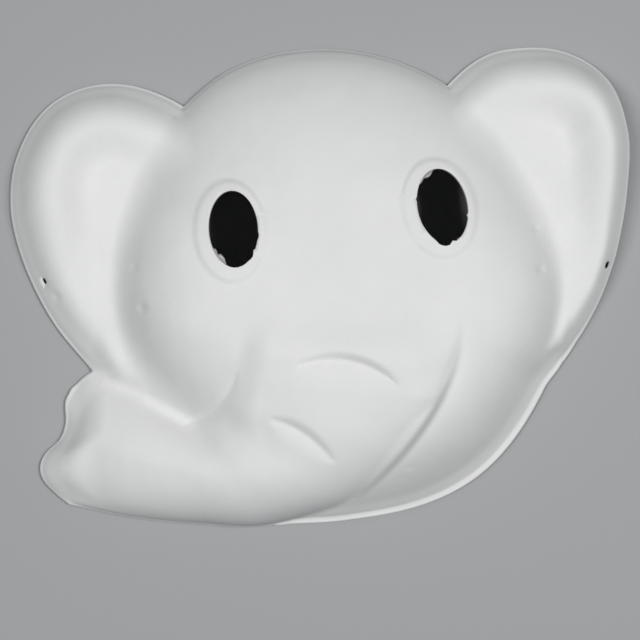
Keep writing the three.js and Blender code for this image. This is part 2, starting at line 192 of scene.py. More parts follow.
# The lip widens from the ears to the jaw: below top_y over fall_y, and past side_x over rise_x. Its top
# fades into the outer skin over LIP_FADE of height.
LIP_FADE = 9
JAW_LIP = {"top_y": -10, "fall_y": 40, "side_x": -40, "rise_x": 25}

# The holes: two for the eyes and two for an elastic. Each is an ellipse that a block of grid cells opens
# to, with so many rows and columns either way of its middle. spread is how far out that moves the grid,
# as a share of the ellipse.
HOLES = table(
    "x y half_width half_height tilt rows columns spread",
    (-35.8, 23.5, 8.5, 13.4, 0, 6, 28, 2.6),
    (36.5, 25.2, 8.8, 13.3, 4, 7, 27, 2.6),
    (-106.7, 12.5, 0.6, 1.5, 20, 1, 1, 4),
    (96, 0.6, 0.9, 1.6, -35, 1, 1, 3),
)

# The raised rings round the eyes. They are wider than the holes on the side of the trunk and below.
RINGS = table(
    "x y half_width half_height tilt",
    (-37, 23, 13.1, 18.9, 0),
    (35.5, 24.7, 13.7, 18.6, 4),
)

# The torn edges of the holes: each tear reaches into its hole (or, where negative, is a nick out of its
# edge) at a bearing, over a spread of degrees to either side. low is 0 where the whole wall reaches in and
# 1 where only its back does. At a fullness of 1.5 the middle third of a tear has its whole reach.
TEAR_FULLNESS = 1.5
TEARS = table(
    "hole bearing spread reach low",
    (0, 243, 13, 1.8, 1),
    (0, 226, 9, 0.9, 1),
    (0, 339, 10, -0.35, 0),
    (0, 308, 4, 0.5, 0),
    (0, 299, 6, -0.3, 0),
    (1, 108, 12, 1.6, 1),
    (1, 124, 8, 0.8, 1),
    (1, 336, 3.5, 0.6, 0),
    (1, 281, 4, 0.6, 0),
    (1, 289, 3, 0.6, 1),
    (1, 161, 5, -0.3, 0),
    (1, 266, 14, -0.6, 0),
    (1, 238, 22, 0.15, 0),
)

# The folds: two wrinkles pressed into the trunk, the mouth's crease, and the fold at the trunk's root. Each
# is a curve from start to end that bends toward a third point. share is its part of the wrinkles' depth,
# and left and right are the widths of its walls. Left is the upper side of a wrinkle, the jaw's side of
# the crease and the cheek's side of the root fold. The last three columns are painted shade, standing in
# for the shadow along the fold: how much a stripe along the curve is darkened, how far its middle lies to
# the left of the curve, and the run over which it fades to either side.
FOLDS = table(
    "start_x start_y bend_x bend_y end_x end_y share left right dust dust_at dust_run",
    (-19, -25.2, 2, -20.2, 15.8, -35.2, 1, 3.4, 8, 0.13, 1.4, 2.6),
    (-29.3, -42.6, -17.4, -45.8, -8.2, -59.9, 0.9, 3.4, 7, 0.04, 1.4, 2.6),
    (40, -12.6, 39.6, -42.2, -1.8, -76, 0.3, 5, 2, 0.4, -0.6, 2.4),
    (-61, -42.6, -45.4, -40.8, -39, -25.5, 0.6, 3.2, 5, 0, 0, 1),
)

# For all folds: the points that a curve is followed by, the narrowest that the walls get at its ends, the
# powers of the left and right walls, the share of the depth that shows inside, and the share of the curve
# over which the painted shade grows. Then the attribute that carries the painted shade in the folds, and
# the dark colour that this painted shade mixes the pulp toward.
FOLD_STEPS = 160
LEAST_FADE = 0.1
LEFT_POWER, RIGHT_POWER = 1.5, 2
BACK_FOLDS = 0.75
PAINTED_SHADE_GROWTH = 0.6
PAINTED_SHADE_ATTRIBUTE = "fold_painted_shade"
PAINTED_SHADE_COLOUR = (0.06, 0.065, 0.07)

# Dimples and small pits: place, radius and depth.
DIMPLES = table(
    "x y radius depth",
    (-102.8, 6.7, 2.2, 1.1),
    (-72.5, 14.0, 2.1, 1.0),
    (-70.6, -0.5, 2.5, 1.3),
    (70.1, 15.5, 2.1, 1.0),
    (69.9, 0.8, 2.4, 1.3),
    (17.8, -64.6, 1.2, 0.8),
    (33.0, -37.5, 1.1, 0.3),
    (31.5, -42.0, 0.9, 0.3),
)

# How the wall is divided. The rings close on a pole between the eyes. Near the rim they are parallel to it,
# at steps in from the lip, and farther in they shrink to the pole by shares of the way. The last rows are
# the lip's own, which the holes leave in place.
POLE = (0, 13)
RAYS = 640
OUTLINE_BEARINGS = 4320
OUTLINE_NEAREST, OUTLINE_FARTHEST, OUTLINE_HALVINGS = 40, 160, 18
TURN_LENGTH = 6
NORMAL_SPAN = 5
RIM_STEPS = (4.4, 3.3, 2.4, 1.6, 0.9, 0.4, 0)
POLE_SHARE, CORE_SHARE = 0.03, 0.2
CORE_RINGS, FACE_RINGS = 8, 82
LIP_ROWS = 2
BACK_STRIDE, BACK_RIM_ROWS = 3, 3
EDGE_DEPTH = 0.85
EDGE_ANGLES = (60, 30, 0, -30, -60)
WALL_LEVELS, WALL_LEAN_POWER = (0.1, 0.35, 0.65, 0.9), 3

# How far round a point its height is averaged, in so many turns, and how much more along the valley beside
# the trunk: the most, the reach to either side, and the share by station.
SOFTENING = 0.55
SOFTENING_TURNS = 6
VALLEY_SOFTENING, VALLEY_REACH = 3, 10
VALLEY = table("station share", (0, 0), (2, 0.3), (3.5, 1), (6.5, 1), (8, 0.5), (8.6, 0), (9, 0))

# The unevenness of the moulded surface, as waves whose headings turn by the golden angle.
GOLDEN_ANGLE = 2.399963
WAVES, SHORTEST_WAVE, WAVE_GROWTH = 14, 7.0, 1.9

# The pulp's looks: the scale and detail of its noises, how the two sets of fibres are stretched and turned,
# the fine grain's weight in the tone, the tones of the deep and the light shade, and the roughness at both
# ends of the tone. Each side has its own weights, and its bump's strength and its distance in metres.
FINE_DETAIL = 3.0
LUMP_NOISE, FIBRE_NOISE, BROAD_NOISE = (170.0, 2.0), (900.0, 2.0), (45.0, 3.0)
FIBRE_STRETCHES = (((0.12, 1.0, 1.0), (0.0, 0.0, 0.6)), ((1.0, 0.12, 1.0), (0.0, 0.0, 0.4)))
FINE_IN_TONE = 0.5
SHADE_TONES, ROUGHNESSES, SPECULAR = (0.35, 0.62), (0.98, 0.82), 0.25
FRONT_GRAIN = {"Grain Scale": 1500.0, "Grain": 0.5, "Lumps": 0.5, "Fibres": 0.1}
BACK_GRAIN = {"Grain Scale": 700.0, "Grain": 0.8, "Lumps": 0.6, "Fibres": 0.9}
FRONT_BUMP, BACK_BUMP = (0.25, 0.0004), (0.7, 0.0009)

# The stage: the floor just under the mask, its roughness, the tint of the even light, the camera's sensor
# in millimetres, the point of the floor under the camera, and the lamps by bearing, with their shares of
# the power.
FLOOR_Z, FLOOR_ROUGHNESS = -0.0002, 0.9
FILL_COLOUR = (0.86, 0.93, 1)
SENSOR = 36.0
VIEW_CENTRE = (-0.00462, -0.01247)
LAMPS = table("bearing share", (0, 1.12), (180, 0.88))


def smooth(share):
    """A rise from 0 to 1 that starts and ends level: 3 t squared minus 2 t cubed."""
    part = np.clip(share, 0, 1)
    return part * part * (3 - 2 * part)


def swell(share, power):
    """A rise from 0 to 1 that starts upright and ends level, as a quarter of a superellipse does."""
    return (1 - (1 - np.clip(share, 0, 1)) ** power) ** (1 / power)


def hump(share):
    """A rise from 0 to 1 that starts at a slope and ends level: 2 t minus t squared."""
    part = np.clip(share, 0, 1)
    return part * (2 - part)


def blended_max(a, b, blend):
    """The larger of two heights, raised by (blend - |a - b|) squared over 4 blend where they come close."""
    overlap = np.maximum(blend - np.abs(a - b), 0)
    return np.maximum(a, b) + overlap**2 / (4 * np.maximum(blend, TINY))


def read_curve(keys, values, place, period=0.0):
    """A smooth curve through a column of a table. Between two rows it is the cubic whose slope at each row
    is that of the chord between the rows on either side. A table with a period closes on itself. Another
    one ends with the slope of its last chord, and past its ends the value stays."""
    if period:
        keys = np.concatenate([keys[-2:] - period, keys, keys[:2] + period])
        values = np.concatenate([values[-2:], values, values[:2]])
        place = np.mod(place, period)
    else:
        place = np.clip(place, keys[0], keys[-1])
        keys = np.concatenate([[2 * keys[0] - keys[1]], keys, [2 * keys[-1] - keys[-2]]])
        values = np.concatenate([[2 * values[0] - values[1]], values, [2 * values[-1] - values[-2]]])
    k = np.clip(np.searchsorted(keys, place, side="right") - 1, 1, len(keys) - 3)
    span = keys[k + 1] - keys[k]
    t = (place - keys[k]) / span
    slope_from = (values[k + 1] - values[k - 1]) / (keys[k + 1] - keys[k - 1]) * span
    slope_to = (values[k + 2] - values[k]) / (keys[k + 2] - keys[k]) * span
    late = t * t * (3 - 2 * t)
    rise = values[k] * (1 - late) + values[k + 1] * late
    return rise + (slope_from * (1 - t) - slope_to * t) * t * (1 - t)


def by_bearing(rows, column, bearing):
    """A column of a table that goes by bearing, as a curve that closes on itself."""
    return read_curve(rows["bearing"], rows[column], bearing, FULL_TURN)


def fold_rows():
    """The folds' table as one dict for each row."""
    return [dict(zip(FOLDS, row)) for row in zip(*FOLDS.values())]


class MaskForm:
    """The mask's form as heights over the table, in millimetres. inset shrinks it to the wall's inside."""

    def __init__(self, sizes):
        self.wall = sizes.wall / MM
        self.lip = sizes.lip / MM
        self.jaw_lip = sizes.jaw_lip / MM
        self.head_height = sizes.head_height / MM
        self.ring_bevel = sizes.ring_bevel / MM
        self.ring_rise = sizes.ring_rise / MM
        self.wrinkle_depth = sizes.wrinkle_depth / MM
        self.unevenness = sizes.unevenness / MM
        stations = np.linspace(0, TRUNK["station"][-1], TRUNK_SLICES)
        self.slices = {name: read_curve(TRUNK["station"], TRUNK[name], stations) for name in TRUNK}
        self.slices["free"] = np.clip(self.slices["free"], 0, 1)
        self.slices["dx"] = self.slices["outer_x"] - self.slices["inner_x"]
        self.slices["dy"] = self.slices["outer_y"] - self.slices["inner_y"]
        self.slices["width"] = np.hypot(self.slices["dx"], self.slices["dy"])

    def lip_width(self, x, y):
        """The flat lip is narrow, and widens smoothly to the jaw."""
        low = smooth((JAW_LIP["top_y"] - y) / JAW_LIP["fall_y"])
        side = smooth((x - JAW_LIP["side_x"]) / JAW_LIP["rise_x"])
        return self.lip + (self.jaw_lip - self.lip) * low * side

    def head(self, x, y, inset):
        """A dome: its height times (1 - r ** flat) ** foot, where r is the share of the way to its edge."""
        bearing = np.degrees(np.arctan2(y, x))
        reach = by_bearing(HEAD, "reach", bearing) - self.lip_width(x, y) - inset
        share = np.minimum(np.hypot(x, y) / reach, 1)
        flat, foot = by_bearing(HEAD, "flat", bearing), by_bearing(HEAD, "foot", bearing)
        return (self.head_height - inset) * (1 - share**flat) ** foot

    def depth_in_ear(self, ear, x, y):
        """The distance in from an ear's edge, square to it: the radial distance times the cosine of the
        edge's slant. The slant's tangent is the change of the reach with the bearing, over the reach."""
        dx, dy = x - ear["middle"][0], y - ear["middle"][1]
        bearing = np.degrees(np.arctan2(dy, dx))
        reach = by_bearing(ear["rows"], "reach", bearing)
        after = by_bearing(ear["rows"], "reach", bearing + SLANT_STEP)
        before = by_bearing(ear["rows"], "reach", bearing - SLANT_STEP)
        slant = np.degrees(after - before) / (2 * SLANT_STEP) / reach
        return (reach - np.hypot(dx, dy)) / np.hypot(1, slant)

    def ear(self, ear, x, y, inset):
        """A dish: a rounded edge that rises to its crest, and a smooth fall by the roll to the floor. On
        the inner skin the fall starts an inset nearer the edge, so that the wall keeps its thickness."""
        bearing = np.degrees(np.arctan2(y - ear["middle"][1], x - ear["middle"][0]))
        depth = self.depth_in_ear(ear, x, y) - self.lip_width(x, y) - inset
        run = by_bearing(ear["rows"], "run", bearing)
        roll = by_bearing(ear["rows"], "roll", bearing)
        rim = (ear["floor"] + roll - inset) * hump(depth / run)
        rim -= roll * smooth((depth + 2 * inset - run) / DISH_RUN)
        return rim * smooth((y - ear["end_y"]) / EAR_END_RUN)

    def trunk_section(self, x, y):
        """The trunk's section through each point: the section's own values, the share across it, the
        distance past the last section, and whether there is one. A point takes its section from the first
        two slices that it lies between."""
        s = self.slices
        px, py = x[:, None] - s["inner_x"], y[:, None] - s["inner_y"]
        ahead = (s["dy"] * px - s["dx"] * py) / s["width"]
        across = (s["dx"] * px + s["dy"] * py) / s["width"] ** 2
        between = (ahead[:, :-1] >= 0) & (ahead[:, 1:] < 0)
        part = np.where(between, ahead[:, :-1] / np.where(between, ahead[:, :-1] - ahead[:, 1:], 1), 0)
        share = across[:, :-1] + (across[:, 1:] - across[:, :-1]) * part
        between &= (share > 0) & (share < 1)
        found = between.any(1)
        point = np.arange(len(x))
        first = np.where(found, between.argmax(1), TRUNK_SLICES - 2)
        part = np.where(found, part[point, first], 1)
        at_tip = ~found & (ahead[:, -1] >= 0) & (across[:, -1] > 0) & (across[:, -1] < 1)
        share = np.where(found, share[point, first], across[:, -1])
        values = {name: s[name][first] * (1 - part) + s[name][first + 1] * part for name in s}
        return values, share, ahead[:, -1], found | at_tip

    def tip_reach(self, across):
        """How far the tip reaches past the last section."""
        return read_curve(TIP["across"], TIP["reach"], across)

    def trunk(self, x, y, base, inset):
        """The trunk over a base: across each section it rises from the inner edge to its crest and falls as
        a superellipse to the outer edge, and toward the tip it falls as a parabola. Where it isn't free of
        the face it rides on the base."""
        part, across, past, there = self.trunk_section(x, y)
        free = part["free"]
        lip = self.lip_width(x, y)
        edge = (lip * free**2 + inset) / part["width"]
        inward = (across - edge) / part["inner_run"]
        rise = (1 - free) * smooth(inward) + free * (1 - (1 - np.clip(inward, 0, 1)) ** TRUNK_RISE_POWER)
        side = swell((1 - edge - across) / part["outer_run"], TRUNK_SIDE_POWER)
        end = hump((self.tip_reach(across) - lip - inset - past) / TIP_RUN)
        lift = part["lift"] * smooth(part["station"] / TRUNK_ROOT)
        height = (1 - free) * base + (np.maximum(part["seat"] - inset * free, 0) + lift * rise) * side * end
        inner_half = smooth(across * part["width"] / BLEND_RUN) * smooth((BLEND_END - across) / BLEND_FALL)
        blend = np.minimum(TRUNK_BLEND * free * inner_half, np.minimum(base, height))
        return np.where(there, blended_max(base, height, blend), base)

    def face(self, x, y, inset):
        """Head, ears and trunk, each pair joined by the larger height with a rounded meeting."""
        height = self.head(x, y, inset)
        for ear in (TRUNK_SIDE_EAR, FREE_EAR):
            ear_top = self.ear(ear, x, y, inset)
            upper = smooth((y - FILLET_LOW_Y) / FILLET_RISE_Y)
            fillet = ear["low_fillet"] + (ear["fillet"] - ear["low_fillet"]) * upper
            height = blended_max(height, ear_top, np.minimum(fillet, FILLET_MOST_OF_EAR * ear_top))
        near = (x < TRUNK_MOST_X) & (y < TRUNK_MOST_Y)
        height[near] = self.trunk(x[near], y[near], height[near], inset)
        return height

    def softness(self, x, y):
        """How far round a point its height is averaged: a little everywhere, and more along the valley
        between the trunk and the cheek, which is the line of the sections' inner edges."""
        s = self.slices
        near = (x < TRUNK_MOST_X) & (y < TRUNK_MOST_Y)
        away = (x[near, None] - s["inner_x"]) ** 2 + (y[near, None] - s["inner_y"]) ** 2
        nearest = np.argmin(away, axis=1)
        share = np.interp(s["station"][nearest], VALLEY["station"], VALLEY["share"])
        soft = np.full_like(x, SOFTENING)
        soft[near] += VALLEY_SOFTENING * share * smooth(1 - np.sqrt(away.min(axis=1)) / VALLEY_REACH)
        return soft

    def soft_face(self, x, y, inset):
        """The face with its creases softened: the mean height of a point and of two rings round it."""
        soft = self.softness(x, y)
        total = self.face(x, y, inset)
        for turn in np.arange(SOFTENING_TURNS) * 2 * np.pi / SOFTENING_TURNS:
            dx, dy = soft * np.cos(turn), soft * np.sin(turn)
            total = total + self.face(x + dx, y + dy, inset) + self.face(x - dx / 2, y - dy / 2, inset)
        return total / (2 * SOFTENING_TURNS + 1)

    def inside(self, x, y):
        """True within the outline of the head, an ear or the trunk."""
        bearing = np.degrees(np.arctan2(y, x))
        within = np.hypot(x, y) < by_bearing(HEAD, "reach", bearing)
        for ear in (TRUNK_SIDE_EAR, FREE_EAR):
            within |= self.depth_in_ear(ear, x, y) > 0
        _, across, past, there = self.trunk_section(x, y)
        return within | (there & (past < self.tip_reach(across)))

    def rings_round_eyes(self, x, y):
        """A soft-edged raised ring round each eye: a smooth rise over the bevel, from its outer edge in."""
        rise = np.zeros_like(x)
        for i in range(len(RINGS["x"])):
            share, mean = ellipse_share(RINGS, i, x, y)
            rise += self.ring_rise * smooth((1 - share) * mean / self.ring_bevel)
        return rise

    def fold_place(self, row, x, y):
        """Where points lie about a fold's curve: the distance to its left, a fade toward its ends, which is
        the root of half a sine wave, and the share of the way along it."""
        t = np.linspace(0, 1, FOLD_STEPS)
        start, bend, end = (1 - t) ** 2, 2 * t * (1 - t), t**2
        cx = start * row["start_x"] + bend * row["bend_x"] + end * row["end_x"]
        cy = start * row["start_y"] + bend * row["bend_y"] + end * row["end_y"]
        tx, ty = np.gradient(cx), np.gradient(cy)
        nearest = np.argmin((x[:, None] - cx) ** 2 + (y[:, None] - cy) ** 2, axis=1)
        dx, dy = x - cx[nearest], y - cy[nearest]
        above = (tx[nearest] * dy - ty[nearest] * dx) / np.hypot(tx, ty)[nearest]
        return above, np.sqrt(np.clip(np.sin(np.pi * t[nearest]), 0, 1)), t[nearest]

    def folds(self, x, y):
        """The depth of the folds. Each has a wall on either side of its curve, and fades to its ends.

        At a distance d from the curve it is (1 - d / width) ** power, with one width and power on the left
        and another on the right, so the bottom is a sharp fold and both outer edges run out flat.
        """
        depth = np.zeros_like(x)
        for row in fold_rows():
            above, fade, _ = self.fold_place(row, x, y)
            run = np.where(above > 0, row["left"], row["right"])
            distance = np.abs(above) / (run * np.maximum(fade, LEAST_FADE))
            power = np.where(above > 0, LEFT_POWER, RIGHT_POWER)
            depth += self.wrinkle_depth * row["share"] * fade * np.clip(1 - distance, 0, 1) ** power
        return depth

    def fold_painted_shade(self, x, y):
        """How much painted shade lies in the folds, from 0 to 1: a smooth stripe along each that grows from
        its start and stands in for the shadow along the fold.
        """
        dust = np.zeros_like(x)
        for row in fold_rows():
            above, fade, along = self.fold_place(row, x, y)
            stripe = smooth(1 - np.abs(above - row["dust_at"]) / row["dust_run"])
            dust = np.maximum(dust, row["dust"] * fade * smooth(along / PAINTED_SHADE_GROWTH) * stripe)
        return dust

    def dimples(self, x, y):
        """Round dents: each has its depth times a smooth fall from its middle to its radius."""
        depth = np.zeros_like(x)
        for cx, cy, radius, most in zip(*DIMPLES.values()):
            depth += most * smooth(1 - np.hypot(x - cx, y - cy) / radius)
        return depth

    def uneven(self, x, y):
        """A faint unevenness: the sum of waves of growing length whose headings turn by the golden angle,
        over the root of their number."""
        total = np.zeros_like(x)
        for i in range(WAVES):
            heading = GOLDEN_ANGLE * i
            length = SHORTEST_WAVE + WAVE_GROWTH * i
            along = x * np.cos(heading) + y * np.sin(heading)
            total += np.sin(2 * np.pi * along / length + i * i)
        return self.unevenness * total / math.sqrt(WAVES)

    def front(self, x, y):
        """The outer skin, which stands on the top of the lip: it is a wall higher at the rim, and less so
        farther up. The relief fades out on the lip."""
        height = self.soft_face(x, y, 0)
        free = smooth(height / self.wall)
        relief = self.rings_round_eyes(x, y) - self.folds(x, y) - self.dimples(x, y) + self.uneven(x, y)
        return height + self.wall * (1 - smooth(height / LIP_FADE)) + relief * free

    def back(self, x, y):
        """The inner skin, no lower than the table, with a share of the folds."""
        height = self.soft_face(x, y, self.wall)
        free = smooth(height / self.wall)
        return np.maximum(height, 0) + free * (self.uneven(x, y) - BACK_FOLDS * self.folds(x, y))


def ellipse_share(rows, i, x, y):
    """How far points lie from an ellipse's middle, as a share of the way to its edge, and its mean
    radius."""
    tilt = math.radians(rows["tilt"][i])
    dx, dy = x - rows["x"][i], y - rows["y"][i]
    wide, high = rows["half_width"][i], rows["half_height"][i]
    along = (dx * math.cos(tilt) + dy * math.sin(tilt)) / wide
    up = (dy * math.cos(tilt) - dx * math.sin(tilt)) / high
    return np.hypot(along, up), (wide + high) / 2


def tear_reach(hole, x, y, low):
    """How far the torn edge reaches into a hole at each point's bearing: the sum of its tears, each a
    smooth bump over its spread. low is 0 for the front edge and 1 for the back one."""
    bearing = np.degrees(np.arctan2(y - HOLES["y"][hole], x - HOLES["x"][hole]))
    total = np.zeros_like(x)
    for number, middle, spread, reach, only_low in zip(*TEARS.values()):
        if number == hole:
            away = np.abs(np.mod(bearing - middle + FULL_TURN / 2, FULL_TURN) - FULL_TURN / 2)
            total += reach * smooth(TEAR_FULLNESS * (1 - away / spread)) * (low if only_low else 1)
    return total


def outline(form):
    """Points round the outline, found by halving along bearings from the pole, and spaced evenly by length
    plus a length for each radian of turning, so that they gather at the notches."""
    bearing = np.arange(OUTLINE_BEARINGS) * 2 * np.pi / OUTLINE_BEARINGS
    near = np.full(OUTLINE_BEARINGS, float(OUTLINE_NEAREST))
    far = np.full(OUTLINE_BEARINGS, float(OUTLINE_FARTHEST))
    for _ in range(OUTLINE_HALVINGS):
        middle = (near + far) / 2
        within = form.inside(POLE[0] + middle * np.cos(bearing), POLE[1] + middle * np.sin(bearing))
        near, far = np.where(within, middle, near), np.where(within, far, middle)
    fine = np.stack([POLE[0] + near * np.cos(bearing), POLE[1] + near * np.sin(bearing)], 1)
    step = np.roll(fine, -1, 0) - fine
    ahead = np.roll(fine, -NORMAL_SPAN, 0) - np.roll(fine, NORMAL_SPAN, 0)
    heading = np.unwrap(np.arctan2(ahead[:, 1], ahead[:, 0]))
    turned = np.abs(np.diff(heading, append=heading[0] + 2 * np.pi))
    sums = np.concatenate([[0], np.cumsum(np.hypot(*step.T) + TURN_LENGTH * turned)])
    closed = np.vstack([fine, fine[:1]])
    wanted = np.arange(RAYS) * sums[-1] / RAYS
    return np.stack([np.interp(wanted, sums, closed[:, axis]) for axis in (0, 1)], 1)


def inward_normals(rim):
    """Directions into the outline, averaged over a few neighbours so that they fan out evenly at the
    notches."""
    along = np.roll(rim, -1, 0) - np.roll(rim, 1, 0)
    normal = np.stack([-along[:, 1], along[:, 0]], 1) / np.hypot(*along.T)[:, None]
    spread = range(-NORMAL_SPAN, NORMAL_SPAN + 1)
    total = sum(np.roll(normal, shift, 0) * (NORMAL_SPAN + 1 - abs(shift)) for shift in spread)
    return total / np.hypot(*total.T)[:, None]


def plan_grid(form, rim):
    """The plan of a skin as a grid of rows by rays. From the pole out, rows are shares of the way to a ring
    that is parallel to the rim, and then parallel rings out to the lip's edge."""
    inward = inward_normals(rim)
    lip = form.lip_width(rim[:, 0], rim[:, 1])[:, None]
    parallel = [rim + inward * (lip + step) for step in RIM_STEPS]
    pole = np.array(POLE, float)
    core = np.linspace(POLE_SHARE, CORE_SHARE, CORE_RINGS, endpoint=False)
    shares = np.concatenate([core, np.linspace(CORE_SHARE, 1, FACE_RINGS, endpoint=False)])
    face = [pole + (parallel[0] - pole) * share for share in shares]
    return np.array([*face, *parallel, rim + inward * EDGE_DEPTH])


def open_hole(plan, hole):
    """Opens a block of cells to a hole's ellipse. Along each bearing from the hole's middle the block's
    edge is moved to the torn ellipse, the points beyond it are moved less and less, and those past the
    spread stay. Returns the middle row and column."""
    x, y = plan[..., 0], plan[..., 1]
    middle = np.array([HOLES["x"][hole], HOLES["y"][hole]])
    row, column = np.unravel_index(np.argmin(np.hypot(x - middle[0], y - middle[1])), x.shape)
    loop = block_loop(hole, row, column)
    share, mean = ellipse_share(HOLES, hole, x, y)
    bearing = np.arctan2(y - middle[1], x - middle[0])
    block = np.interp(bearing, bearing[loop], share[loop], period=2 * np.pi)
    torn = 1 - tear_reach(hole, x, y, 0) / mean
    spread = HOLES["spread"][hole]
    away = (share - block) / (spread - block)
    wanted = share + (torn - block) * (1 - away) ** 2
    moved = (share >= block - ROUNDING) & (share < spread)
    moved[-LIP_ROWS:] = False
    scale = np.where(moved, wanted / np.maximum(share, TINY), 1)
    plan[:] = middle + (plan - middle) * scale[..., None]
    return int(row), int(column)


def block_loop(hole, row, column):
    """The rows and columns round a hole's block, clockwise as seen from the front."""
    high, wide = int(HOLES["rows"][hole]), int(HOLES["columns"][hole])
    up, across = np.arange(-high, high), np.arange(-wide, wide)
    rows = np.concatenate([np.full(2 * wide, -high), up, np.full(2 * wide, high), -up])
    columns = np.concatenate([across, np.full(2 * high, wide), -across, np.full(2 * high, -wide)])
    return row + rows, np.mod(column + columns, RAYS)


def in_block(hole, row, column, rows, next_rows, columns):
    """True for the cells, between a row and the next one, that lie within a hole's block."""
    high, wide = HOLES["rows"][hole], HOLES["columns"][hole]
    low, top = np.minimum(rows, next_rows), np.maximum(rows, next_rows)
    away = np.mod(columns - column + RAYS // 2, RAYS) - RAYS // 2
    return ((low >= row - high) & (top <= row + high))[:, None] & ((away >= -wide) & (away < wide))[None, :]


def skin(plan, height):
    """A skin's points: the places of a plan, each at its height."""
    flat = plan.reshape(-1, 2)
    return np.column_stack([flat, height(flat[:, 0], flat[:, 1])]).reshape(*plan.shape[:2], 3)


def rounded_edge(form, rim):
    """The rows of the wall's half-round edge, from the front to the back."""
    inward, half = inward_normals(rim), form.wall / 2
    rows = []
    for angle in np.radians(EDGE_ANGLES):
        place = rim + inward * EDGE_DEPTH * (1 - math.cos(angle))
        rows.append(np.column_stack([place, np.full(RAYS, half * (1 + math.sin(angle)))]))
    return np.array(rows)


def rows_inside(count, middles):
    """The plan's rows that the inside uses, from the rim to the pole: one in a few, those at the rim, and
    all that a hole's block crosses."""
    keep = set(range(0, count, BACK_STRIDE)) | set(range(count - BACK_RIM_ROWS, count))
    for hole, (row, _) in enumerate(middles):
        high = int(HOLES["rows"][hole])
        keep |= set(range(row - high, row + high + 1))
    return np.array(sorted(keep))[::-1]


def tear_back(back, hole, at):
    """Moves a hole's edge on the inner skin in by what its tears reach there and not on the front."""
    place = back[at][:, :2]
    x, y = place.T
    reach = tear_reach(hole, x, y, 1) - tear_reach(hole, x, y, 0)
    to_middle = np.array([HOLES["x"][hole], HOLES["y"][hole]]) - place
    back[(*at, slice(2))] += to_middle / np.hypot(*to_middle.T)[:, None] * reach[:, None]


def hole_wall(points, upper, lower, used):
    """A hole's wall, as rings of new points between its edges on the front and the back. They go down by
    levels, and in plan they near the back edge late, by a power of the level. Returns the points, which
    are numbered from the count of those in use, and the faces."""
    rings, loops = [], [upper]
    for level in WALL_LEVELS:
        late = level**WALL_LEAN_POWER
        ring = points[upper] * (1 - level) + points[lower] * level
        ring[:, :2] = points[upper, :2] * (1 - late) + points[lower, :2] * late
        rings.append(ring)
        loops.append(used + np.arange(len(upper)))
        used += len(upper)
    loops.append(lower)
    pairs = zip(loops, loops[1:])
    faces = [np.stack([high, low, np.roll(low, -1), np.roll(high, -1)], 1) for high, low in pairs]
    return np.concatenate(rings), np.concatenate(faces)


def shell_mesh(form):
    """The closed wall. Rows of a grid run from the pole over the front to the lip, round the half-round
    edge, and back over the inside to the pole. Blocks of cells are left out for the holes, and the front
    and back of each block are joined by the hole's wall. Returns vertices, faces, each face's finish, 0
    front and 1 back, and each vertex's painted shade in the folds, which lies on the front only."""
    rim = outline(form)
    plan = plan_grid(form, rim)
    middles = [open_hole(plan, hole) for hole in range(len(HOLES["x"]))]
    count = len(plan)
    edge = rounded_edge(form, rim)
    back_rows = rows_inside(count, middles)
    back = skin(plan[back_rows], form.back)
    edges = []
    for hole, middle in enumerate(middles):
        loop_rows, loop_columns = block_loop(hole, *middle)
        at = np.searchsorted(-back_rows, -loop_rows)
        tear_back(back, hole, (at, loop_columns))
        edges.append((loop_rows * RAYS + loop_columns, (count + len(edge) + at) * RAYS + loop_columns))
    grid = np.concatenate([skin(plan, form.front), edge, back])
    source = np.concatenate([np.arange(count), np.full(len(edge), -1), back_rows])

    columns = np.arange(RAYS)
    after = np.mod(columns + 1, RAYS)
    rows = np.arange(len(grid) - 1)[:, None]
    low, high = rows * RAYS, (rows + 1) * RAYS
    cells = np.stack([low + columns, high + columns, high + after, low + after], -1)
    kept = np.ones(cells.shape[:2], bool)
    for hole, middle in enumerate(middles):
        kept &= ~in_block(hole, *middle, source[:-1], source[1:], columns)
    behind = np.repeat(rows >= count + len(edge) // 2, RAYS, 1)
    quads, finish = [cells[kept]], [behind[kept]]
    vertices = [grid.reshape(-1, 3)]
    used = len(vertices[0])

    for upper, lower in edges:
        rings, wall = hole_wall(vertices[0], upper, lower, used)
        vertices.append(rings)
        quads.append(wall)
        finish.append(np.ones(len(wall), bool))
        used += len(rings)

    poles = []
    for height, first in ((form.front, 0), (form.back, len(grid) - 1)):
        place = np.array(POLE, float)[:, None]
        vertices.append(np.array([[*POLE, height(*place)[0]]], float))
        ring = [first * RAYS + columns, first * RAYS + after]
        poles.append(np.stack([np.full(RAYS, used), *(ring if first == 0 else ring[::-1])], 1))
        used += 1
    points = np.concatenate(vertices)
    # Painted shade along the folds, for the front skin only.
    dust = form.fold_painted_shade(points[:, 0], points[:, 1])
    dust[count * RAYS :] = 0
    points[:, :2] -= (rim.min(0) + rim.max(0)) / 2
    faces = [*np.concatenate(quads).tolist(), *np.concatenate(poles).tolist()]
    finish = np.concatenate([*finish, np.zeros(RAYS, bool), np.ones(RAYS, bool)])
    return points * MM, faces, finish, dust


